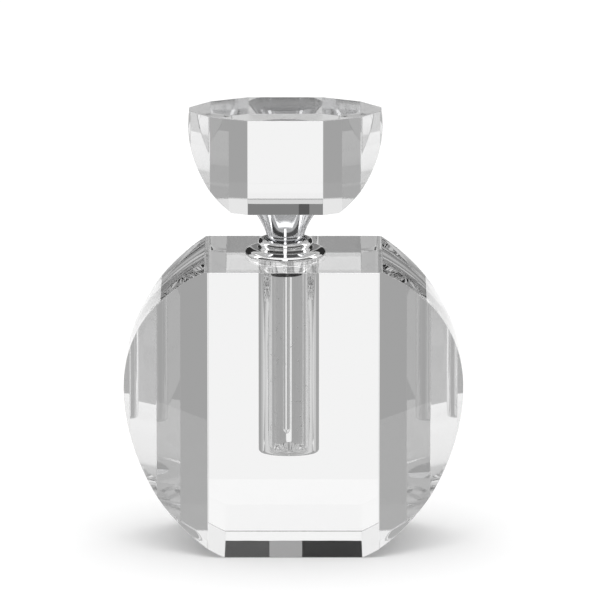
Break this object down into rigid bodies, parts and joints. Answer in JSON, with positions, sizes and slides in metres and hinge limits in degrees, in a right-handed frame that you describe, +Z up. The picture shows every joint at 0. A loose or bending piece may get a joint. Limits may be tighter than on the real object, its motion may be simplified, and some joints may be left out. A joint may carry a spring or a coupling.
{
  "type": "stoppered scent bottle",
  "caption": "Round cut-crystal scent bottle stood on edge, with a chrome neck collar and a half-round crystal stopper carrying a glass dauber rod.",
  "frame": {"origin": "middle of the bottle's base flat, centred in X and Y", "axes": "+Z up along the neck, X across the wide cut face, Y from front to back"},
  "size_m": [0.08, 0.0388, 0.1036],
  "materials": {
    "crystal": "clear optical crystal, cut and polished",
    "chrome": "bright chrome plate",
    "liner": "natural polyethylene, milky and slightly see-through",
    "seal": "clear silicone rubber",
    "rod_glass": "clear drawn glass, flame-polished tip"
  },
  "bodies": {
    "bottle": {"crystal_body": "crystal", "neck_collar": "chrome", "neck_liner": "liner"},
    "seal": {"seal_ring": "seal"},
    "stopper": {"stopper_crystal": "crystal", "stopper_stem": "chrome", "dauber_plug": "chrome", "dauber_rod": "rod_glass"}
  },
  "joints": [
    {"name": "stopper_lift", "type": "slide", "parent": "bottle", "child": "seal", "axis": [0, 0, 1], "range_m": [0, 0.05]},
    {"name": "stopper_turn", "type": "hinge", "parent": "seal", "child": "stopper", "pos_m": [-0.0019, 0, 0.068], "axis": [0, 0, 1], "continuous": true}
  ]
}
